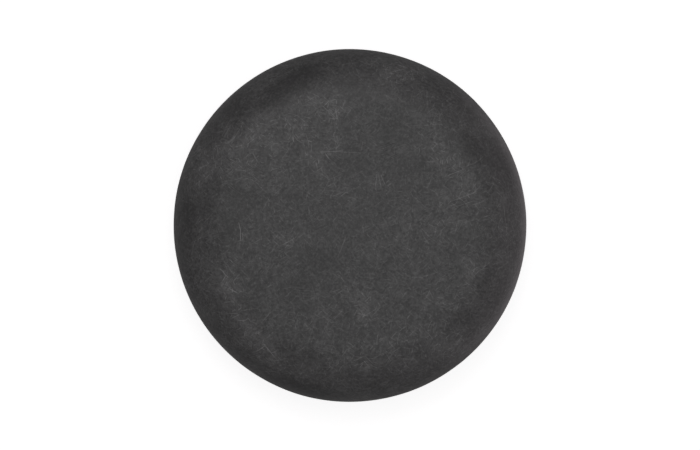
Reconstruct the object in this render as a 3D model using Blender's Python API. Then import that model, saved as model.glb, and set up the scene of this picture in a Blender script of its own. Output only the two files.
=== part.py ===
# Basalt massage stone: one solid disc of basalt, ground round and rubbed smooth.
# Metres, +Z up. The stone lies on its flat underside, centred on the origin.

import math

import bpy

# Driving dimensions
STONE_DIAMETER = 0.0800  # across the widest line of the edge
STONE_THICKNESS = 0.0250  # from the underside to the top of the crown
UPPER_FACE_RADIUS = 0.0272  # where the upper face turns into the shoulder
UPPER_FACE_CROWN = 0.0004  # rise of the upper face from its rim to its centre
REST_FACE_RADIUS = 0.0260  # the flat that the stone lies on

# How finely the solid is divided
STEPS_AROUND = 96
CROWN_STEPS = 4
SHOULDER_STEPS = 10  # above the widest line, and again below it
MERGE_DISTANCE = 0.00001

# Finish
BASALT_COLOUR = (0.055, 0.055, 0.055, 1.0)
BASALT_ROUGHNESS = 0.45
BASALT_METALLIC = 0.0

# Sizes that follow from the driving ones
EDGE_RADIUS = STONE_DIAMETER / 2
EDGE_HEIGHT = STONE_THICKNESS / 2  # height of the widest line


def clear_scene():
    for old_object in list(bpy.data.objects):
        bpy.data.objects.remove(old_object, do_unlink=True)


def make_basalt():
    material = bpy.data.materials.new("basalt")
    material.use_nodes = True
    shader = material.node_tree.nodes["Principled BSDF"]
    shader.inputs["Base Color"].default_value = BASALT_COLOUR
    shader.inputs["Roughness"].default_value = BASALT_ROUGHNESS
    shader.inputs["Metallic"].default_value = BASALT_METALLIC
    material.diffuse_color = BASALT_COLOUR
    return material


def crown_points():
    # the upper face, a shallow parabola from its centre outwards, without its rim
    points = []
    for step in range(CROWN_STEPS):
        share = step / CROWN_STEPS
        points.append((UPPER_FACE_RADIUS * share, STONE_THICKNESS - UPPER_FACE_CROWN * share**2))
    return points


def shoulder_points(face_radius, rise, rim_slope):
    # Part of an ellipse from a face's rim out to the widest line, as (radius, height above it).
    # It leaves the rim at the face's own slope and crosses the widest line upright.
    width = EDGE_RADIUS - face_radius
    slope_share = rim_slope * width / rise
    start_sine = slope_share / (1 - slope_share)
    start_angle = math.asin(start_sine)
    half_width = width / (1 - start_sine)
    half_height = rise / math.cos(start_angle)
    points = []
    for step in range(SHOULDER_STEPS + 1):
        angle = start_angle + (math.pi / 2 - start_angle) * step / SHOULDER_STEPS
        radius = EDGE_RADIUS - half_width * (1 - math.sin(angle))
        points.append((radius, half_height * math.cos(angle)))
    return points


def stone_profile():
    # down the outer side: crown, upper shoulder, lower shoulder, centre of the underside
    crown_slope = 2 * UPPER_FACE_CROWN / UPPER_FACE_RADIUS
    upper = shoulder_points(UPPER_FACE_RADIUS, EDGE_HEIGHT - UPPER_FACE_CROWN, crown_slope)
    lower = shoulder_points(REST_FACE_RADIUS, EDGE_HEIGHT, 0.0)
    profile = crown_points()
    profile += [(radius, EDGE_HEIGHT + above) for radius, above in upper]
    profile += [(radius, EDGE_HEIGHT - below) for radius, below in reversed(lower[:-1])]
    profile.append((0.0, 0.0))
    return profile


def make_stone():
    profile = [(radius, 0.0, height) for radius, height in stone_profile()]
    edges = [(index, index + 1) for index in range(len(profile) - 1)]
    mesh = bpy.data.meshes.new("stone")
    mesh.from_pydata(profile, edges, [])
    mesh.materials.append(make_basalt())
    stone = bpy.data.objects.new("stone", mesh)
    bpy.context.scene.collection.objects.link(stone)

    turning = stone.modifiers.new("turning", "SCREW")
    turning.axis = "Z"
    turning.angle = 2 * math.pi
    turning.steps = STEPS_AROUND
    turning.render_steps = STEPS_AROUND
    turning.use_merge_vertices = True
    turning.merge_threshold = MERGE_DISTANCE
    turning.use_smooth_shade = True
    return stone


clear_scene()
make_stone()
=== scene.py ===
import math

import bpy
import mathutils
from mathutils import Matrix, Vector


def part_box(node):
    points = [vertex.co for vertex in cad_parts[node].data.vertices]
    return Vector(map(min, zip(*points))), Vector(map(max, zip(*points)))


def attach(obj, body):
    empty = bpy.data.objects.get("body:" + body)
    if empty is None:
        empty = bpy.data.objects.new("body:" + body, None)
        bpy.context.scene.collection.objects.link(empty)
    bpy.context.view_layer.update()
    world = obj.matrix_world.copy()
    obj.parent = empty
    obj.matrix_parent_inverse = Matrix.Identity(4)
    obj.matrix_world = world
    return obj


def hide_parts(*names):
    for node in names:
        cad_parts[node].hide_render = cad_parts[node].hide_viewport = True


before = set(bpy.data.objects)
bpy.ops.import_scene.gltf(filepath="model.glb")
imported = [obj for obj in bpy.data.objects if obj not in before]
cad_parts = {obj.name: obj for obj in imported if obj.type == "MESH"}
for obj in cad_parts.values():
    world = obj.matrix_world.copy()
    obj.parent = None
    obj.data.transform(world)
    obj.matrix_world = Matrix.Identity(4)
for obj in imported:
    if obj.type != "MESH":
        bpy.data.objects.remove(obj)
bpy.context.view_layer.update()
print("frame loaded:", ", ".join(sorted(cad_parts)))

stoneNode = "stone"
stoneBody = "root"
lowCorner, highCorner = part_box(stoneNode)
stoneDiameter = highCorner.x - lowCorner.x
stoneThickness = highCorner.z - lowCorner.z
waistHeight = (highCorner.z + lowCorner.z) / 2


def feed(tree, socket, value):
    # a socket takes either a wire or a number
    if isinstance(value, bpy.types.NodeSocket):
        tree.links.new(value, socket)
    elif value is not None:
        socket.default_value = value


def addNode(tree, kind, inputs=None, **settings):
    node = tree.nodes.new(kind)
    for name, value in settings.items():
        setattr(node, name, value)
    for name, value in (inputs or {}).items():
        feed(tree, node.inputs[name], value)
    return node


def calculate(tree, operation, *values, clamp=False):
    node = addNode(tree, "ShaderNodeMath", operation=operation, use_clamp=clamp)
    for socket, value in zip(node.inputs, values):
        feed(tree, socket, value)
    return node.outputs[0]


def sumUp(tree, values):
    total = values[0]
    for value in values[1:]:
        total = calculate(tree, "ADD", total, value)
    return total


def calculateVector(tree, operation, *values, scale=None):
    node = addNode(tree, "ShaderNodeVectorMath", operation=operation)
    for socket, value in zip(node.inputs, values):
        feed(tree, socket, value)
    if scale is not None:
        feed(tree, node.inputs["Scale"], scale)
    gives = "Value" if operation in ("DOT_PRODUCT", "LENGTH", "DISTANCE") else "Vector"
    return node.outputs[gives]


def remap(tree, value, fromLow, fromHigh, toLow=0.0, toHigh=1.0):
    # soft step between two limits, held at both ends
    node = addNode(tree, "ShaderNodeMapRange", interpolation_type="SMOOTHSTEP")
    for socket, setting in zip(node.inputs, (value, fromLow, fromHigh, toLow, toHigh)):
        feed(tree, socket, setting)
    return node.outputs[0]


def newTree(name, kind, inputs, outputs):
    tree = bpy.data.node_groups.new(name, kind)
    for label, socketType, value in inputs:
        socket = tree.interface.new_socket(name=label, in_out="INPUT", socket_type=socketType)
        if value is not None:
            socket.default_value = value
    for label, socketType in outputs:
        tree.interface.new_socket(name=label, in_out="OUTPUT", socket_type=socketType)
    entry = tree.nodes.new("NodeGroupInput")
    leave = tree.nodes.new("NodeGroupOutput")
    return tree, entry.outputs, leave.inputs


def placeGroup(tree, group, inputs):
    return addNode(tree, "ShaderNodeGroup", inputs, node_tree=group).outputs


def splitVector(tree, vector):
    return addNode(tree, "ShaderNodeSeparateXYZ", {0: vector}).outputs


def splitColour(tree, colour):
    return addNode(tree, "ShaderNodeSeparateColor", {0: colour}).outputs


def joinVector(tree, x, y, z):
    return addNode(tree, "ShaderNodeCombineXYZ", {0: x, 1: y, 2: z}).outputs[0]


def centred(tree, value):
    # noises and random values run from 0 to 1, this lets them swing about 0
    return calculate(tree, "SUBTRACT", value, 0.5)


def mixColours(tree, share, first, second):
    # a Mix node keeps its two colours on sockets 6 and 7, and puts the mixture out on socket 2
    inputs = {"Factor": share, 6: first, 7: second}
    return addNode(tree, "ShaderNodeMix", inputs, data_type="RGBA").outputs[2]


stoneShape = {
    "upperFaceRadius": 0.0272,
    "crown": 0.0004,  # rise of the upper face towards its centre
    "restFaceRadius": 0.0260,
    "divisions": 121,  # along each edge of the starting cube, odd so that a row lies on the waist
    "swell": 0.00016,  # slow hand-ground unevenness
    "swellWidth": 0.017,
    "peel": 0.000012,  # faint ripple left by rubbing
    "peelWidth": 0.0022,
    "restMargin": 0.0030,  # height over which the unevenness fades out above the flat
    "mapRadius": 0.288,  # of each round half of the stone on its UV map
    "mapCentre": 0.2929,
    "seed": 7.0,
}


def growTurnedStone():
    # A cube is blown up to a ball, and every point of the ball is moved to the stone's profile:
    # face first, then the elliptical shoulder down to the waist, on both sides.
    tree, given, result = newTree(
        "turnedStone",
        "GeometryNodeTree",
        [
            ("Diameter", "NodeSocketFloat", 0.08),
            ("Thickness", "NodeSocketFloat", 0.025),
            ("Upper Face Radius", "NodeSocketFloat", 0.0272),
            ("Crown", "NodeSocketFloat", 0.0004),
            ("Rest Face Radius", "NodeSocketFloat", 0.026),
            ("Divisions", "NodeSocketInt", 41),
            ("Swell", "NodeSocketFloat", 0.0),
            ("Swell Width", "NodeSocketFloat", 0.02),
            ("Peel", "NodeSocketFloat", 0.0),
            ("Peel Width", "NodeSocketFloat", 0.002),
            ("Rest Margin", "NodeSocketFloat", 0.003),
            ("Map Radius", "NodeSocketFloat", 0.288),
            ("Map Centre", "NodeSocketFloat", 0.2929),
            ("Seed", "NodeSocketFloat", 0.0),
            ("Finish", "NodeSocketMaterial", None),
        ],
        [("Geometry", "NodeSocketGeometry")],
    )
    tree.is_modifier = True
    quarterTurn = math.pi / 2

    divisions = given["Divisions"]
    cube = addNode(
        tree,
        "GeometryNodeMeshCube",
        {
            "Size": (2.0, 2.0, 2.0),
            "Vertices X": divisions,
            "Vertices Y": divisions,
            "Vertices Z": divisions,
        },
    ).outputs["Mesh"]
    cubePlace = addNode(tree, "GeometryNodeInputPosition").outputs[0]
    asAngles = calculateVector(tree, "SCALE", cubePlace, scale=quarterTurn / 2)
    evened = calculateVector(tree, "TANGENT", asAngles)  # keeps the squares alike on the ball
    direction = splitVector(tree, calculateVector(tree, "NORMALIZE", evened))
    level = joinVector(tree, direction[0], direction[1], 0.0)
    sideways = splitVector(tree, calculateVector(tree, "NORMALIZE", level))
    isUpper = calculate(tree, "GREATER_THAN", direction[2], 0.0)
    polar = calculate(tree, "ARCCOSINE", calculate(tree, "ABSOLUTE", direction[2]))
    share = calculate(tree, "DIVIDE", polar, quarterTurn)

    def choose(when, ifSo, ifNot):
        return addNode(tree, "ShaderNodeMix", {"Factor": when, "A": ifNot, "B": ifSo}).outputs[0]

    radius = calculate(tree, "MULTIPLY", given["Diameter"], 0.5)
    halfThickness = calculate(tree, "MULTIPLY", given["Thickness"], 0.5)
    faceRadius = choose(isUpper, given["Upper Face Radius"], given["Rest Face Radius"])
    crown = choose(isUpper, given["Crown"], 0.0)
    rise = calculate(tree, "SUBTRACT", halfThickness, crown)
    width = calculate(tree, "SUBTRACT", radius, faceRadius)
    rimSlope = calculate(tree, "DIVIDE", calculate(tree, "MULTIPLY", crown, 2.0), faceRadius)
    slopeShare = calculate(tree, "DIVIDE", calculate(tree, "MULTIPLY", rimSlope, width), rise)
    unsloped = calculate(tree, "SUBTRACT", 1.0, slopeShare)
    startSine = calculate(tree, "DIVIDE", slopeShare, unsloped)
    startAngle = calculate(tree, "ARCSINE", startSine)
    halfWidth = calculate(tree, "DIVIDE", width, calculate(tree, "SUBTRACT", 1.0, startSine))
    halfHeight = calculate(tree, "DIVIDE", rise, calculate(tree, "COSINE", startAngle))

    # the face and the shoulder share the rows by their length along the profile
    squares = calculate(
        tree,
        "ADD",
        calculate(tree, "MULTIPLY", halfWidth, halfWidth),
        calculate(tree, "MULTIPLY", halfHeight, halfHeight),
    )
    meanRadius = calculate(tree, "SQRT", calculate(tree, "MULTIPLY", squares, 0.5))
    shoulderLength = calculate(tree, "MULTIPLY", meanRadius, quarterTurn)
    profileLength = calculate(tree, "ADD", faceRadius, shoulderLength)
    faceShare = calculate(tree, "DIVIDE", faceRadius, profileLength)

    alongFace = calculate(tree, "DIVIDE", share, faceShare)
    drop = calculate(tree, "MULTIPLY", crown, calculate(tree, "MULTIPLY", alongFace, alongFace))
    heightOnFace = calculate(tree, "SUBTRACT", halfThickness, drop)
    radiusOnFace = calculate(tree, "MULTIPLY", faceRadius, alongFace)

    pastFace = calculate(tree, "SUBTRACT", share, faceShare)
    shoulderShare = calculate(tree, "SUBTRACT", 1.0, faceShare)
    alongShoulder = calculate(tree, "DIVIDE", pastFace, shoulderShare)
    sweep = calculate(tree, "SUBTRACT", quarterTurn, startAngle)
    angle = calculate(tree, "MULTIPLY_ADD", sweep, alongShoulder, startAngle)
    insetShare = calculate(tree, "SUBTRACT", 1.0, calculate(tree, "SINE", angle))
    inset = calculate(tree, "MULTIPLY", halfWidth, insetShare)
    radiusOnShoulder = calculate(tree, "SUBTRACT", radius, inset)
    heightOnShoulder = calculate(tree, "MULTIPLY", halfHeight, calculate(tree, "COSINE", angle))

    onShoulder = calculate(tree, "GREATER_THAN", pastFace, 0.0)
    turnRadius = choose(onShoulder, radiusOnShoulder, radiusOnFace)
    fromWaist = choose(onShoulder, heightOnShoulder, heightOnFace)
    aboveWaist = calculate(tree, "MULTIPLY", fromWaist, choose(isUpper, 1.0, -1.0))
    turned = joinVector(
        tree,
        calculate(tree, "MULTIPLY", sideways[0], turnRadius),
        calculate(tree, "MULTIPLY", sideways[1], turnRadius),
        calculate(tree, "ADD", halfThickness, aboveWaist),
    )

    # UV map: the upper and the lower half, each spread out as a disc, parted along the waist
    faceHeight = addNode(
        tree,
        "GeometryNodeFieldOnDomain",
        {"Value": direction[2]},
        data_type="FLOAT",
        domain="FACE",
    ).outputs[0]
    isUpperFace = calculate(tree, "GREATER_THAN", faceHeight, 0.0)
    reach = calculate(tree, "MULTIPLY", share, given["Map Radius"])
    farCentre = calculate(tree, "SUBTRACT", 1.0, given["Map Centre"])
    mapCentre = choose(isUpperFace, given["Map Centre"], farCentre)
    mirror = choose(isUpperFace, 1.0, -1.0)  # the lower disc is seen from below
    mapX = calculate(tree, "MULTIPLY", calculate(tree, "MULTIPLY", sideways[0], mirror), reach)
    mapY = calculate(tree, "MULTIPLY", sideways[1], reach)
    mapPlace = joinVector(
        tree,
        calculate(tree, "ADD", mapX, mapCentre),
        calculate(tree, "ADD", mapY, mapCentre),
        0.0,
    )
    mapped = addNode(
        tree,
        "GeometryNodeStoreNamedAttribute",
        {"Geometry": cube, "Name": "OFBake", "Value": mapPlace},
        data_type="FLOAT2",
        domain="CORNER",
    ).outputs[0]

    shaped = addNode(
        tree,
        "GeometryNodeSetPosition",
        {"Geometry": mapped, "Position": turned},
    ).outputs[0]

    # unevenness, pushed along the surface's own normal and faded out above the resting flat
    place = addNode(tree, "GeometryNodeInputPosition").outputs[0]
    normal = addNode(tree, "GeometryNodeInputNormal").outputs[0]
    height = splitVector(tree, place)[2]

    def wave(size, seedStep):
        noise = addNode(
            tree,
            "ShaderNodeTexNoise",
            {
                "Vector": place,
                "W": calculate(tree, "ADD", given["Seed"], seedStep),
                "Scale": calculate(tree, "DIVIDE", 1.0, size),
                "Detail": 1.0,
            },
            noise_dimensions="4D",
        )
        return centred(tree, noise.outputs[0])

    seedGap = 31.0  # keeps the two waves from following each other
    swell = calculate(tree, "MULTIPLY", wave(given["Swell Width"], 0.0), given["Swell"])
    peel = calculate(tree, "MULTIPLY", wave(given["Peel Width"], seedGap), given["Peel"])
    fade = remap(tree, height, 0.0, given["Rest Margin"])
    push = calculate(tree, "MULTIPLY", calculate(tree, "ADD", swell, peel), fade)
    rubbed = addNode(
        tree,
        "GeometryNodeSetPosition",
        {"Geometry": shaped, "Offset": calculateVector(tree, "SCALE", normal, scale=push)},
    ).outputs[0]

    smooth = addNode(tree, "GeometryNodeSetShadeSmooth", {"Geometry": rubbed}).outputs[0]
    realized = addNode(tree, "GeometryNodeRealizeInstances", {"Geometry": smooth}).outputs[0]
    finished = addNode(
        tree,
        "GeometryNodeSetMaterial",
        {"Geometry": realized, "Material": given["Finish"]},
    ).outputs[0]
    feed(tree, result["Geometry"], finished)
    return tree


def setInputs(modifier, values):
    # a modifier's inputs go by their identifiers, not their labels
    for item in modifier.node_group.interface.items_tree:
        if item.item_type == "SOCKET" and item.in_out == "INPUT" and item.name in values:
            modifier[item.identifier] = values[item.name]


def meshFromTree(name, tree, values):
    maker = bpy.data.objects.new(name + "Maker", bpy.data.meshes.new(name + "Maker"))
    bpy.context.scene.collection.objects.link(maker)
    modifier = maker.modifiers.new(tree.name, "NODES")
    modifier.node_group = tree
    setInputs(modifier, values)
    depsgraph = bpy.context.evaluated_depsgraph_get()
    mesh = bpy.data.meshes.new_from_object(
        maker.evaluated_get(depsgraph), preserve_all_data_layers=True, depsgraph=depsgraph
    )
    mesh.name = name
    for slot in reversed(range(len(mesh.materials))):
        if mesh.materials[slot] is None:  # the starting cube brings an empty slot
            mesh.materials.pop(index=slot)
    maker.modifiers.remove(modifier)
    bpy.data.objects.remove(maker)
    piece = bpy.data.objects.new(name, mesh)
    bpy.context.scene.collection.objects.link(piece)
    return piece


def makeStone(basalt):
    piece = meshFromTree(
        "basaltStone",
        growTurnedStone(),
        {
            "Diameter": stoneDiameter,
            "Thickness": stoneThickness,
            "Upper Face Radius": stoneShape["upperFaceRadius"],
            "Crown": stoneShape["crown"],
            "Rest Face Radius": stoneShape["restFaceRadius"],
            "Divisions": stoneShape["divisions"],
            "Swell": stoneShape["swell"],
            "Swell Width": stoneShape["swellWidth"],
            "Peel": stoneShape["peel"],
            "Peel Width": stoneShape["peelWidth"],
            "Rest Margin": stoneShape["restMargin"],
            "Map Radius": stoneShape["mapRadius"],
            "Map Centre": stoneShape["mapCentre"],
            "Seed": stoneShape["seed"],
            "Finish": basalt,
        },
    )
    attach(piece, stoneBody)
    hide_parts(stoneNode)
    print("stone:", len(piece.data.vertices), "points,", len(piece.data.polygons), "faces")


# The stone's finish. Its groups work in millimetres from the stone's middle.
millimetres = 1000.0  # in a metre
seedShift = (17.3, -31.7, 9.1)  # how far each seed moves the random patches
underShift = (0.05, 0.04, 0.03)  # how far a full-strength mark pushes aside the one over it
leastSlant = 0.3  # below this a slanting stroke is narrowed no further
coreShare = 0.2  # of a scratch's half width, bright all through
upwards = (0.0, 0.0, 1.0)
sideOnly = (1.0, 1.0, 0.0)  # takes the height out of a place


def patchFrame(tree, place, normal, size, seed):
    # the random patch that a point lies in, and the point's place along and across its stroke
    shift = calculateVector(tree, "SCALE", seedShift, scale=seed)
    moved = calculateVector(tree, "ADD", place, shift)
    cells = addNode(
        tree,
        "ShaderNodeTexVoronoi",
        {"Vector": moved, "Scale": calculate(tree, "DIVIDE", 1.0, size)},
        feature="F1",
    )
    offset = calculateVector(tree, "SUBTRACT", moved, cells.outputs["Position"])
    randoms = splitColour(tree, cells.outputs["Color"])
    anyWay = joinVector(tree, *[centred(tree, randoms[part]) for part in range(3)])
    side = calculateVector(tree, "NORMALIZE", anyWay)
    lengthwise = calculateVector(tree, "CROSS_PRODUCT", normal, side)
    stroke = calculateVector(tree, "NORMALIZE", lengthwise)
    # a stroke is a flat cut through the surface, so a slanting cut has to be narrowed
    slant = calculate(tree, "MAXIMUM", calculateVector(tree, "LENGTH", lengthwise), leastSlant)
    along = calculateVector(tree, "DOT_PRODUCT", offset, stroke)
    aside = calculateVector(tree, "DOT_PRODUCT", offset, side)
    return {
        "along": along,
        "across": calculate(tree, "DIVIDE", aside, slant),
        "distance": cells.outputs["Distance"],
        "random": randoms[0],
        "second": randoms[1],
        "third": randoms[2],
    }


def nudged(tree, given):
    # a mark is pushed aside a little where it runs over the marks under it
    aside = calculateVector(tree, "SCALE", underShift, scale=given["Under"])
    return calculateVector(tree, "ADD", given["Place"], aside)


def upperSideOnly(tree, place, low, high):
    # 0 below the first height and 1 above the second, both counted from the waist
    return remap(tree, calculateVector(tree, "DOT_PRODUCT", place, upwards), low, high)


def makeStreakGroup():
    # Rubbing marks: the surface falls into soft patches, and each patch is stroked its own way
    tree, given, result = newTree(
        "rubbingMarks",
        "ShaderNodeTree",
        [
            ("Place", "NodeSocketVector", None),
            ("Normal", "NodeSocketVector", None),
            ("Under", "NodeSocketFloat", 0.0),
            ("Patch", "NodeSocketFloat", 5.0),
            ("Length", "NodeSocketFloat", 3.0),
            ("Width", "NodeSocketFloat", 0.12),
            ("Threshold", "NodeSocketFloat", 0.6),
            ("Seed", "NodeSocketFloat", 0.0),
        ],
        [("Marks", "NodeSocketFloat")],
    )
    depthRange = 50.0  # each patch cuts the noise at its own depth
    lineSoftness = 0.16
    outerEdge, innerEdge = 0.62, 0.35  # of a patch, in patch widths from its middle
    patch = patchFrame(tree, nudged(tree, given), given["Normal"], given["Patch"], given["Seed"])
    across = calculate(tree, "DIVIDE", patch["across"], given["Width"])
    along = calculate(tree, "DIVIDE", patch["along"], given["Length"])
    depth = calculate(tree, "MULTIPLY", patch["random"], depthRange)
    stroke = joinVector(tree, across, along, depth)
    noise = addNode(tree, "ShaderNodeTexNoise", {"Vector": stroke, "Scale": 1.0, "Detail": 0.0})
    upper = calculate(tree, "ADD", given["Threshold"], lineSoftness)
    lines = remap(tree, noise.outputs[0], given["Threshold"], upper)
    fade = remap(tree, patch["distance"], outerEdge, innerEdge)
    feed(tree, result["Marks"], calculate(tree, "MULTIPLY_ADD", lines, fade, given["Under"]))
    return tree


def makeScratchGroup():
    # One fine scratch in each patch that has one, slightly bowed
    tree, given, result = newTree(
        "fineScratches",
        "ShaderNodeTree",
        [
            ("Place", "NodeSocketVector", None),
            ("Normal", "NodeSocketVector", None),
            ("Under", "NodeSocketFloat", 0.0),
            ("Patch", "NodeSocketFloat", 8.0),
            ("Length", "NodeSocketFloat", 6.0),
            ("Width", "NodeSocketFloat", 0.12),
            ("Bow", "NodeSocketFloat", 0.5),
            ("Share", "NodeSocketFloat", 0.5),
            ("Seed", "NodeSocketFloat", 0.0),
        ],
        [("Scratch", "NodeSocketFloat")],
    )
    shortest = 0.4  # of the given length
    evenShare = 0.4  # of a scratch's half length, before it starts to fade
    patch = patchFrame(tree, nudged(tree, given), given["Normal"], given["Patch"], given["Seed"])
    lengthShare = calculate(tree, "MULTIPLY_ADD", patch["second"], 1.0 - shortest, shortest)
    lengthHere = calculate(tree, "MULTIPLY", given["Length"], lengthShare)
    halfLength = calculate(tree, "MULTIPLY", lengthHere, 0.5)
    along = calculate(tree, "DIVIDE", patch["along"], halfLength)
    curve = calculate(tree, "MULTIPLY", calculate(tree, "MULTIPLY", along, along), given["Bow"])
    eitherWay = calculate(tree, "MULTIPLY_ADD", patch["third"], 2.0, -1.0)
    bow = calculate(tree, "MULTIPLY", curve, eitherWay)
    across = calculate(tree, "ABSOLUTE", calculate(tree, "SUBTRACT", patch["across"], bow))
    core = calculate(tree, "MULTIPLY", given["Width"], coreShare)
    line = remap(tree, across, given["Width"], core)
    ends = remap(tree, calculate(tree, "ABSOLUTE", along), 1.0, evenShare)
    scratched = calculate(tree, "LESS_THAN", patch["random"], given["Share"])
    mask = calculate(tree, "MULTIPLY", calculate(tree, "MULTIPLY", line, ends), scratched)
    feed(tree, result["Scratch"], calculate(tree, "ADD", mask, given["Under"]))
    return tree


def makeWearGroup():
    # Soft clouds where the stone has been handled
    tree, given, result = newTree(
        "handledClouds",
        "ShaderNodeTree",
        [
            ("Place", "NodeSocketVector", None),
            ("Size", "NodeSocketFloat", 9.0),
            ("Threshold", "NodeSocketFloat", 0.5),
            ("Softness", "NodeSocketFloat", 0.15),
            ("Seed", "NodeSocketFloat", 0.0),
        ],
        [("Cloud", "NodeSocketFloat")],
    )
    noise = addNode(
        tree,
        "ShaderNodeTexNoise",
        {
            "Vector": given["Place"],
            "W": given["Seed"],
            "Scale": calculate(tree, "DIVIDE", 1.0, given["Size"]),
            "Detail": 4.0,
            "Roughness": 0.55,
        },
        noise_dimensions="4D",
    )
    low = calculate(tree, "SUBTRACT", given["Threshold"], given["Softness"])
    high = calculate(tree, "ADD", given["Threshold"], given["Softness"])
    feed(tree, result["Cloud"], remap(tree, noise.outputs[0], low, high))
    return tree


def makeGrainGroup():
    # Basalt's own grain: crystals of one grain size in a finer ground
    tree, given, result = newTree(
        "basaltGrain",
        "ShaderNodeTree",
        [("Place", "NodeSocketVector", None), ("Size", "NodeSocketFloat", 0.5)],
        [("Grain", "NodeSocketFloat"), ("Crystals", "NodeSocketFloat")],
    )
    fineScale = calculate(tree, "DIVIDE", 1.0, given["Size"])
    cells = addNode(tree, "ShaderNodeTexVoronoi", {"Vector": given["Place"], "Scale": fineScale})
    crystal = splitColour(tree, cells.outputs["Color"])[0]
    ground = addNode(
        tree,
        "ShaderNodeTexNoise",
        {"Vector": given["Place"], "Scale": fineScale, "Detail": 3.0, "Roughness": 0.7},
    ).outputs[0]
    feed(tree, result["Grain"], ground)
    feed(tree, result["Crystals"], crystal)
    return tree


def makePatchGroup():
    # One oval patch at a chosen place on the upper side, ragged where its Place is bent; it draws
    # the worn patches, the dark patches and the painted highlight patches alike
    tree, given, result = newTree(
        "ovalPatch",
        "ShaderNodeTree",
        [
            ("Place", "NodeSocketVector", None),
            ("Centre", "NodeSocketVector", None),
            ("Turn", "NodeSocketFloat", 0.0),
            ("Half Length", "NodeSocketFloat", 4.0),
            ("Half Width", "NodeSocketFloat", 2.0),
        ],
        [("Patch", "NodeSocketFloat")],
    )
    outerEdge = 1.7  # in half widths or half lengths from the middle
    waistFade = 2.0  # on either side of the waist
    offset = calculateVector(tree, "SUBTRACT", given["Place"], given["Centre"])
    cosine = calculate(tree, "COSINE", given["Turn"])
    sine = calculate(tree, "SINE", given["Turn"])
    lengthwise = joinVector(tree, cosine, sine, 0.0)
    crosswise = joinVector(tree, calculate(tree, "MULTIPLY", sine, -1.0), cosine, 0.0)
    along = calculateVector(tree, "DOT_PRODUCT", offset, lengthwise)
    along = calculate(tree, "DIVIDE", along, given["Half Length"])
    across = calculateVector(tree, "DOT_PRODUCT", offset, crosswise)
    across = calculate(tree, "DIVIDE", across, given["Half Width"])
    acrossSquare = calculate(tree, "MULTIPLY", across, across)
    reach = calculate(tree, "SQRT", calculate(tree, "MULTIPLY_ADD", along, along, acrossSquare))
    upperSide = upperSideOnly(tree, given["Place"], -waistFade, waistFade)
    worn = remap(tree, reach, outerEdge, 0.0)
    feed(tree, result["Patch"], calculate(tree, "MULTIPLY", worn, upperSide))
    return tree


def makeLineGroup():
    # One scratch between two chosen places on the upper side
    tree, given, result = newTree(
        "singleScratch",
        "ShaderNodeTree",
        [
            ("Place", "NodeSocketVector", None),
            ("Start", "NodeSocketVector", None),
            ("End", "NodeSocketVector", None),
            ("Width", "NodeSocketFloat", 0.12),
        ],
        [("Scratch", "NodeSocketFloat")],
    )
    evenShare = 0.2  # of the length on either side of the middle, before it starts to fade
    endShare = 0.25  # of the scratch's strength that is left at its ends
    waistFade = 4.0  # above the waist
    flatPlace = calculateVector(tree, "MULTIPLY", given["Place"], sideOnly)
    fromStart = calculateVector(tree, "SUBTRACT", flatPlace, given["Start"])
    whole = calculateVector(tree, "SUBTRACT", given["End"], given["Start"])
    wholeSquare = calculateVector(tree, "DOT_PRODUCT", whole, whole)
    reached = calculateVector(tree, "DOT_PRODUCT", fromStart, whole)
    along = calculate(tree, "DIVIDE", reached, wholeSquare, clamp=True)
    nearest = calculateVector(tree, "SCALE", whole, scale=along)
    gap = calculateVector(tree, "DISTANCE", fromStart, nearest)
    line = remap(tree, gap, given["Width"], calculate(tree, "MULTIPLY", given["Width"], coreShare))
    fromMiddle = calculate(tree, "ABSOLUTE", centred(tree, along))
    taper = remap(tree, fromMiddle, 0.5, evenShare, endShare, 1.0)
    upperSide = upperSideOnly(tree, given["Place"], 0.0, waistFade)
    mask = calculate(tree, "MULTIPLY", calculate(tree, "MULTIPLY", line, taper), upperSide)
    feed(tree, result["Scratch"], mask)
    return tree


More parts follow.
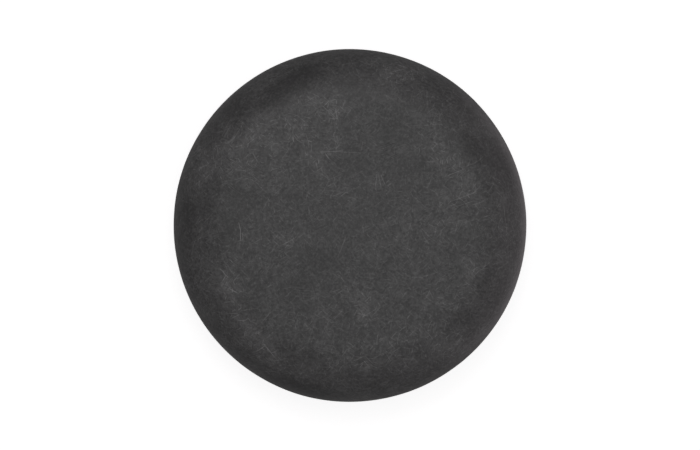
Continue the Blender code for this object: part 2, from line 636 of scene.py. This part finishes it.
# places and sizes on the stone are in millimetres from its middle
basaltFinish = {
    "ground": (0.006, 0.006, 0.006, 1.0),  # the darkest grains
    "powder": (0.130, 0.130, 0.130, 1.0),  # stone broken up by scratches
    "cleanTone": 0.146,  # how far unmarked stone already leans towards powder
    "shoulderFade": (35.0, 25.0),  # from the shoulder's fewer marks to the face's full ones
    "shoulderShare": 0.80,  # of the marks, on the shoulder
    "shoulderTone": 0.11,  # even haze in place of the marks that the shoulder lacks
    "plainScratches": 0.80,  # share of the scratches' tone where nothing is worn
    "scratchesOnWearAndPaintedHighlight": 0.10,  # how much more the scratches show where the stone is worn, and on the painted highlight patches
    "wearAndPaintedHighlightTone": 0.42,  # how much brighter a full-strength patch is, for worn patches and the painted highlight patches alike
    "darkestShare": 0.2,  # of the usual tone, in the darkest patches
    "darkSoftness": 0.2,  # keeps the darkest grains a little apart
    # how strongly each of these shows
    "grainTone": 0.71,
    "crystalTone": 0.18,
    "mottleTone": 0.17,
    "markTone": 0.085,
    "scratchTone": 0.285,
    "lineTone": 0.70,
    "lineWidth": 0.13,
    "grainSize": 0.5,
    "roughness": 0.46,
    "wearAndPaintedHighlightRoughness": 0.02,  # added where the stone is worn, and on the painted highlight patches
    "grainRoughness": 0.06,  # added on the brightest grains
    "ringRadius": 25.5,  # where a face meets the shoulder
    "ringFade": (5.5, 0.5),  # from no ring to all of it, either side of its radius
    "offRingShare": 0.5,  # of the clouds of wear, away from the ring
    "raggedScale": 0.45,  # of the noise that bends the patches' outlines
    "raggedness": 5.0,  # reach of that bending
    "reliefDepth": 0.000030,  # metres
    "grainRelief": 0.5,  # share of that depth
    "strokeRelief": 0.6,
    "clouds": {"Size": 10.0, "Threshold": 0.52, "Softness": 0.14, "Seed": 5.0},
    "mottle": {"Size": 4.5, "Threshold": 0.5, "Softness": 0.5, "Seed": 9.0},
    # patch, length and width of the strokes, threshold, seed
    "rubbing": [
        (5.0, 3.8, 0.24, 0.52, 1.0),
        (3.6, 3.0, 0.22, 0.52, 2.0),
        (2.6, 2.2, 0.20, 0.51, 3.0),
        (1.8, 1.6, 0.18, 0.50, 4.0),
    ],
    # patch, length, width, bow, share, seed
    "scratches": [
        (9.0, 8.0, 0.11, 0.30, 0.35, 11.0),
        (7.0, 6.4, 0.11, 0.24, 0.50, 12.0),
        (5.0, 4.8, 0.11, 0.14, 0.75, 13.0),
        (3.6, 3.6, 0.11, 0.08, 0.90, 14.0),
        (2.6, 2.4, 0.12, 0.04, 0.95, 15.0),
        (1.9, 1.7, 0.12, 0.02, 0.95, 16.0),
    ],
    # x, y, turn in degrees, half length, half width, strength; dark patches have one below zero.
    # Most are wear; the broad weak ones at (10, -25.5), (1, -29.5) and (20.5, -23) are painted
    # highlight on the lower shoulder
    "patches": [
        (-33.6, 13.0, 75, 6.0, 3.2, 1.75),
        (-25.5, 16.5, 40, 6.5, 4.5, 1.3),
        (-18.0, 20.5, 20, 6.5, 3.6, 1.7),
        (-10.5, 19.0, -60, 5.5, 2.2, 1.4),
        (-6.8, 12.5, -35, 4.5, 2.4, 1.3),
        (-1.5, 7.0, -40, 4.0, 1.8, 1.0),
        (-2.8, 27.0, 0, 4.2, 2.0, 1.8),
        (-3.6, 23.0, 80, 5.0, 2.2, 1.0),
        (-3.0, 33.0, 80, 4.0, 2.6, 0.3),
        (10.5, 34.0, -10, 6.0, 2.4, 1.9),
        (19.2, 16.8, -50, 6.0, 2.6, 1.7),
        (20.5, 25.0, -30, 6.0, 3.0, 0.9),
        (27.0, 8.0, -60, 3.4, 2.0, 1.2),
        (20.0, 6.0, 30, 2.6, 1.8, 1.0),
        (13.0, 6.0, 60, 3.0, 1.8, 1.1),
        (33.2, 4.0, 85, 7.0, 2.0, 1.2),
        (-27.4, -12.8, -62, 4.2, 2.0, 3.0),
        (-25.4, -18.8, -60, 5.0, 2.4, 1.5),
        (-21.6, -25.5, -45, 5.0, 2.6, 1.0),
        (-33.5, -1.0, 85, 3.0, 1.6, 0.5),
        (-13.0, -3.2, 10, 4.4, 1.8, 1.6),
        (-0.8, -13.0, 80, 4.6, 1.8, 1.4),
        (3.7, -17.6, 20, 3.0, 2.6, 1.7),
        (26.5, -12.0, 60, 4.4, 1.8, 1.7),
        (22.5, -27.5, 5, 4.0, 1.8, 2.2),
        # painted highlight: a broad weak patch standing in for light on the lower shoulder
        (10.0, -25.5, -30, 7.0, 4.0, 1.0),
        (17.0, -15.0, 0, 8.0, 6.0, 0.5),
        (3.2, -31.2, 0, 2.6, 1.6, 1.6),
        # painted highlight: this broad weak patch and the next stand in for light on the lower
        # shoulder
        (1.0, -29.5, 0, 10.0, 3.2, 0.8),
        (20.5, -23.0, 45, 9.0, 3.4, 0.9),
        (-22.0, -22.5, -45, 6.0, 2.6, 0.6),
        (-17.5, -28.3, -55, 4.4, 1.8, 1.5),
        (-10.5, 33.0, 25, 4.4, 2.4, -2.9),
        (-16.0, 29.3, 35, 4.0, 2.4, -2.1),
        (-25.0, 26.5, 40, 3.2, 2.2, -0.7),
        (-26.8, -1.0, 85, 5.6, 2.0, -1.5),
        (-32.5, 4.5, 60, 3.6, 2.0, -0.6),
        (-24.0, 7.0, -20, 4.4, 2.6, -1.0),
        (34.0, 14.0, -65, 6.0, 2.4, -1.7),
        (27.4, 17.6, -20, 3.8, 2.4, -1.4),
        (9.2, 21.5, 80, 7.0, 2.4, -1.1),
        (2.0, 13.5, 0, 5.0, 2.6, -1.1),
        (13.0, 12.5, 0, 5.0, 2.4, -0.8),
        (-7.0, -7.0, -35, 4.0, 2.4, -1.3),
        (-9.6, -12.6, 80, 6.0, 2.2, -0.6),
        (-9.5, -28.0, 0, 4.2, 2.4, -1.3),
        (24.0, -20.5, -10, 4.2, 2.2, -1.5),
        (5.0, -34.5, 0, 4.0, 1.8, -0.6),
        (-12.0, -37.0, -18, 8.0, 2.4, -2.8),
        (-15.0, -15.0, 45, 6.0, 5.0, -0.6),
        (-36.0, 0.0, 90, 8.0, 2.2, -1.1),
        (0.0, 30.0, 0, 6.0, 2.4, -1.3),
        (26.5, -26.5, 45, 6.0, 2.0, 0.6),
        (16.0, 0.0, 0, 6.0, 5.0, 0.7),
        (28.5, 0.5, 80, 3.6, 2.2, 0.9),
    ],
    # x and y of one end, x and y of the other, strength
    "lines": [
        (-24.7, 0.8, -24.2, -1.4, 1.5),
        (-24.3, -0.8, -24.3, -3.4, 1.7),
        (-23.8, -1.6, -23.7, -3.4, 0.7),
        (-7.2, 16.3, -1.0, 16.5, 0.55),
        (-2.0, 16.3, 2.6, 16.2, 0.5),
        (-5.6, 16.2, -4.6, 14.6, 0.8),
        (-3.3, 16.7, -2.2, 18.2, 0.6),
        (6.0, 11.4, 5.6, 8.2, 0.7),
        (6.3, 11.5, 6.9, 8.4, 0.6),
        (6.7, 11.5, 7.9, 8.8, 0.7),
        (22.0, 5.2, 27.4, 7.2, 0.45),
        (22.8, 4.0, 27.8, 5.6, 0.45),
        (23.4, 6.8, 26.6, 4.2, 0.5),
        (20.4, 10.6, 25.6, 12.6, 0.5),
        (-26.8, -14.0, -24.8, -15.0, 0.5),
        (-19.4, -26.0, -16.2, -30.0, 0.4),
    ],
}


def makeBasalt():
    material = bpy.data.materials.new("rubbedBasalt")
    material.use_nodes = True
    tree = material.node_tree
    shader = tree.nodes["Principled BSDF"]
    finish = basaltFinish
    coordinates = addNode(tree, "ShaderNodeTexCoord").outputs
    place = addNode(
        tree,
        "ShaderNodeMapping",
        {
            "Vector": coordinates["Object"],
            "Location": (0.0, 0.0, -millimetres * waistHeight),
            "Scale": (millimetres, millimetres, millimetres),
        },
    ).outputs[0]
    normal = coordinates["Normal"]

    rubbingMarks = makeStreakGroup()
    fineScratches = makeScratchGroup()
    handledClouds = makeWearGroup()
    basaltGrain = makeGrainGroup()
    ovalPatch = makePatchGroup()
    singleScratch = makeLineGroup()

    # where the stone is worn, and where a highlight is painted: soft clouds of wear, most on the
    # ring where a face meets the shoulder, and its own patches, whose outlines are bent to make
    # them ragged; three broad weak ones on the lower shoulder are painted highlight
    cloud = placeGroup(tree, handledClouds, {"Place": place, **finish["clouds"]})[0]
    radius = calculateVector(tree, "LENGTH", calculateVector(tree, "MULTIPLY", place, sideOnly))
    pastRing = calculate(tree, "SUBTRACT", radius, finish["ringRadius"])
    ring = remap(tree, calculate(tree, "ABSOLUTE", pastRing), *finish["ringFade"])
    bendNoise = addNode(
        tree,
        "ShaderNodeTexNoise",
        {"Vector": place, "Scale": finish["raggedScale"], "Detail": 3.0},
    )
    bends = splitColour(tree, bendNoise.outputs["Color"])
    raggedness = finish["raggedness"]
    bend = joinVector(
        tree,
        *[
            calculate(tree, "MULTIPLY_ADD", bends[part], raggedness, -raggedness / 2)
            for part in range(3)
        ],
    )
    ragged = calculateVector(tree, "ADD", bend, place)
    ownPatches = 0.0
    for x, y, turn, halfLength, halfWidth, strength in finish["patches"]:
        patch = placeGroup(
            tree,
            ovalPatch,
            {
                "Place": ragged,
                "Centre": (x, y, 0.0),
                "Turn": math.radians(turn),
                "Half Length": halfLength,
                "Half Width": halfWidth,
            },
        )[0]
        ownPatches = calculate(tree, "MULTIPLY_ADD", patch, strength, ownPatches)
    offRingShare = finish["offRingShare"]
    cloudShare = calculate(tree, "MULTIPLY_ADD", ring, 1.0 - offRingShare, offRingShare)
    wearAndPaintedHighlight = calculate(tree, "MULTIPLY_ADD", centred(tree, cloud), cloudShare, ownPatches)

    allMarks = 0.0
    layersOfMarks = []
    for patch, length, width, threshold, seed in finish["rubbing"]:
        allMarks = placeGroup(
            tree,
            rubbingMarks,
            {
                "Place": place,
                "Normal": normal,
                "Under": allMarks,
                "Patch": patch,
                "Length": length,
                "Width": width,
                "Threshold": threshold,
                "Seed": seed,
            },
        )[0]
        layersOfMarks.append(allMarks)
    allScratches = 0.0
    for patch, length, width, bow, share, seed in finish["scratches"]:
        allScratches = placeGroup(
            tree,
            fineScratches,
            {
                "Place": place,
                "Normal": normal,
                "Under": allScratches,
                "Patch": patch,
                "Length": length,
                "Width": width,
                "Bow": bow,
                "Share": share,
                "Seed": seed,
            },
        )[0]
    allLines = 0.0
    for startX, startY, endX, endY, strength in finish["lines"]:
        line = placeGroup(
            tree,
            singleScratch,
            {
                "Place": place,
                "Start": (startX, startY, 0.0),
                "End": (endX, endY, 0.0),
                "Width": finish["lineWidth"],
            },
        )[0]
        allLines = calculate(tree, "MULTIPLY_ADD", line, strength, allLines)
    grain = placeGroup(tree, basaltGrain, {"Place": place, "Size": finish["grainSize"]})
    mottle = placeGroup(tree, handledClouds, {"Place": place, **finish["mottle"]})[0]

    # scratches gather where the stone is worn and on the painted highlight patches, and thin out
    # on the shoulder
    faceShare = remap(tree, radius, *finish["shoulderFade"], finish["shoulderShare"], 1.0)
    brightWearAndPaintedHighlight = calculate(tree, "MAXIMUM", wearAndPaintedHighlight, 0.0)
    shownShare = calculate(
        tree, "MULTIPLY_ADD", brightWearAndPaintedHighlight, finish["scratchesOnWearAndPaintedHighlight"], finish["plainScratches"]
    )
    shownTone = calculate(tree, "MULTIPLY", shownShare, finish["scratchTone"])
    scratchTone = calculate(tree, "MULTIPLY", allScratches, shownTone)
    strokeTone = calculate(tree, "MULTIPLY_ADD", allMarks, finish["markTone"], scratchTone)
    grainSwing = centred(tree, grain["Grain"])
    crystalSwing = centred(tree, grain["Crystals"])
    mottleSwing = centred(tree, mottle)
    shoulderHaze = calculate(tree, "SUBTRACT", 1.0, faceShare)
    rubbed = sumUp(
        tree,
        [
            calculate(tree, "MULTIPLY", strokeTone, faceShare),
            calculate(tree, "MULTIPLY", mottleSwing, finish["mottleTone"]),
            calculate(tree, "MULTIPLY", shoulderHaze, finish["shoulderTone"]),
            calculate(tree, "MULTIPLY_ADD", allLines, finish["lineTone"], finish["cleanTone"]),
        ],
    )
    # the tone is brighter on worn patches and on the painted highlight patches
    wearAndPaintedHighlightShare = calculate(tree, "MULTIPLY_ADD", wearAndPaintedHighlight, finish["wearAndPaintedHighlightTone"], 1.0)
    wearAndPaintedHighlightShare = calculate(tree, "MAXIMUM", wearAndPaintedHighlightShare, finish["darkestShare"])
    ownGrain = calculate(tree, "MULTIPLY", grainSwing, finish["grainTone"])
    ownGrain = calculate(tree, "MULTIPLY_ADD", crystalSwing, finish["crystalTone"], ownGrain)
    shownGrain = calculate(tree, "MULTIPLY", ownGrain, faceShare)
    tone = calculate(tree, "MULTIPLY_ADD", rubbed, wearAndPaintedHighlightShare, shownGrain)
    tone = calculate(tree, "SMOOTH_MAX", tone, 0.0, finish["darkSoftness"])
    colour = mixColours(tree, tone, finish["ground"], finish["powder"])
    feed(tree, shader.inputs["Base Color"], colour)
    # roughness rises on worn patches and on the painted highlight patches
    wearAndPaintedHighlightRoughness = calculate(
        tree, "MULTIPLY_ADD", wearAndPaintedHighlight, finish["wearAndPaintedHighlightRoughness"], finish["roughness"]
    )
    roughness = calculate(
        tree, "MULTIPLY_ADD", grain["Grain"], finish["grainRoughness"], wearAndPaintedHighlightRoughness
    )
    feed(tree, shader.inputs["Roughness"], roughness)

    # the broadest strokes and the single scratches are the ones that can be felt
    relief = calculate(tree, "MULTIPLY", grain["Grain"], finish["grainRelief"])
    relief = calculate(tree, "MULTIPLY_ADD", layersOfMarks[0], -finish["strokeRelief"], relief)
    relief = calculate(tree, "SUBTRACT", relief, allLines)
    bump = addNode(
        tree,
        "ShaderNodeBump",
        {"Height": relief, "Distance": finish["reliefDepth"], "Strength": 1.0},
    )
    feed(tree, shader.inputs["Normal"], bump.outputs[0])
    strokeLayers = len(finish["rubbing"]) + len(finish["scratches"])
    print("finish:", strokeLayers, "layers of strokes,", len(finish["patches"]), "patches")
    return material


studio = {
    "lens": 120.0,  # mm
    "sensor": 36.0,  # mm
    "stoneShare": 0.5037,  # of the picture's width that the stone takes
    "centreDrop": 0.00011,  # how far the stone's middle lies below the picture's
    "floorSize": 6.0,
    "floorColour": (0.44, 0.44, 0.44, 1.0),  # as the camera sees it, under its own glow
    "floorGlow": 0.77,
    "floorBounce": (0.38, 0.38, 0.38, 1.0),  # as the stone sees it
    "backdrop": (0.95, 0.95, 0.95, 1.0),  # as the camera sees it
    "roomLight": (0.485, 0.466, 0.475, 1.0),  # as the stone sees it
    "card": {
        "place": (0.0660, -0.0110, 0.0005),
        "width": 0.048,
        "length": 0.15,
        "power": 0.0080,
        "colour": (1.0, 0.88, 0.93),
    },
    "softboxes": {
        "overheadBox": {
            "azimuth": 35,
            "elevation": 83,
            "distance": 0.9,
            "width": 0.8,
            "length": 0.8,
            "power": 1.34,
            "colour": (0.948, 1.0, 0.976),
        },
        "farBox": {
            "azimuth": 100,
            "elevation": 60,
            "distance": 0.9,
            "width": 0.5,
            "length": 0.5,
            "power": 1.25,
            "colour": (1.0, 0.975, 0.985),
        },
        "lowBox": {
            "azimuth": -2,
            "elevation": 10,
            "distance": 0.9,
            "width": 1.4,
            "length": 0.35,
            "power": 0.8,
            "colour": (1.0, 0.88, 0.93),
        },
    },
}


def setCamera():
    cameraData = bpy.data.cameras.new("overheadCamera")
    cameraData.lens = studio["lens"]
    cameraData.sensor_width = studio["sensor"]
    cameraData.sensor_fit = "HORIZONTAL"
    cameraData.clip_start = 0.01
    cameraData.clip_end = 50.0
    camera = bpy.data.objects.new("overheadCamera", cameraData)
    seenWidth = stoneDiameter / studio["stoneShare"]
    distance = seenWidth * studio["lens"] / studio["sensor"]
    camera.location = (0.0, studio["centreDrop"], waistHeight + distance)
    bpy.context.scene.collection.objects.link(camera)
    bpy.context.scene.camera = camera


def seenOrLit(tree, seen, asSeen, asLit):
    # the camera sees one colour, and the stone is lit by another
    return mixColours(tree, seen, asLit, asSeen)


def layFloor():
    half = studio["floorSize"] / 2
    corners = [(-half, -half, 0), (half, -half, 0), (half, half, 0), (-half, half, 0)]
    mesh = bpy.data.meshes.new("paleFloor")
    mesh.from_pydata(corners, [], [(0, 1, 2, 3)])
    floor = bpy.data.objects.new("paleFloor", mesh)
    bpy.context.scene.collection.objects.link(floor)
    material = bpy.data.materials.new("paleTable")
    material.use_nodes = True
    tree = material.node_tree
    shader = tree.nodes["Principled BSDF"]
    # the table looks white, and throws less light back at the stone than it seems to
    seen = addNode(tree, "ShaderNodeLightPath").outputs["Is Camera Ray"]
    colour = seenOrLit(tree, seen, studio["floorColour"], studio["floorBounce"])
    feed(tree, shader.inputs["Base Color"], colour)
    shader.inputs["Roughness"].default_value = 1.0
    shader.inputs["Specular IOR Level"].default_value = 0.0
    feed(tree, shader.inputs["Emission Color"], joinVector(tree, seen, seen, seen))
    shader.inputs["Emission Strength"].default_value = studio["floorGlow"]
    mesh.materials.append(material)


def makeAreaLight(name, settings):
    light = bpy.data.lights.new(name, "AREA")
    light.shape = "RECTANGLE"
    light.size = settings["width"]
    light.size_y = settings["length"]
    light.energy = settings["power"]
    light.color = settings["colour"]
    lamp = bpy.data.objects.new(name, light)
    lamp.visible_camera = False
    bpy.context.scene.collection.objects.link(lamp)
    return lamp


def hangSoftbox(name, settings):
    # a soft light turned towards the stone
    azimuth = math.radians(settings["azimuth"])
    elevation = math.radians(settings["elevation"])
    aim = mathutils.Vector((0.0, 0.0, waistHeight))
    level = math.cos(elevation)
    direction = mathutils.Vector(
        (level * math.cos(azimuth), level * math.sin(azimuth), math.sin(elevation))
    )
    lamp = makeAreaLight(name, settings)
    lamp.location = aim + direction * settings["distance"]
    lamp.rotation_euler = direction.to_track_quat("Z", "Y").to_euler()


def layCard():
    # a small light card flat on the table, close to the stone's right side
    lamp = makeAreaLight("tableCard", studio["card"])
    lamp.location = studio["card"]["place"]
    lamp.rotation_euler = (math.pi, 0.0, 0.0)  # facing up


def lightWorld():
    world = bpy.data.worlds.new("studioWorld")
    world.use_nodes = True
    tree = world.node_tree
    seen = addNode(tree, "ShaderNodeLightPath").outputs["Is Camera Ray"]
    colour = seenOrLit(tree, seen, studio["backdrop"], studio["roomLight"])
    feed(tree, tree.nodes["Background"].inputs["Color"], colour)
    bpy.context.scene.world = world
    bpy.context.scene.view_settings.view_transform = "Standard"


setCamera()
layFloor()
lightWorld()
for boxName, boxSettings in studio["softboxes"].items():
    hangSoftbox(boxName, boxSettings)
layCard()
print("studio:", len(studio["softboxes"]), "softboxes and a card")
makeStone(makeBasalt())
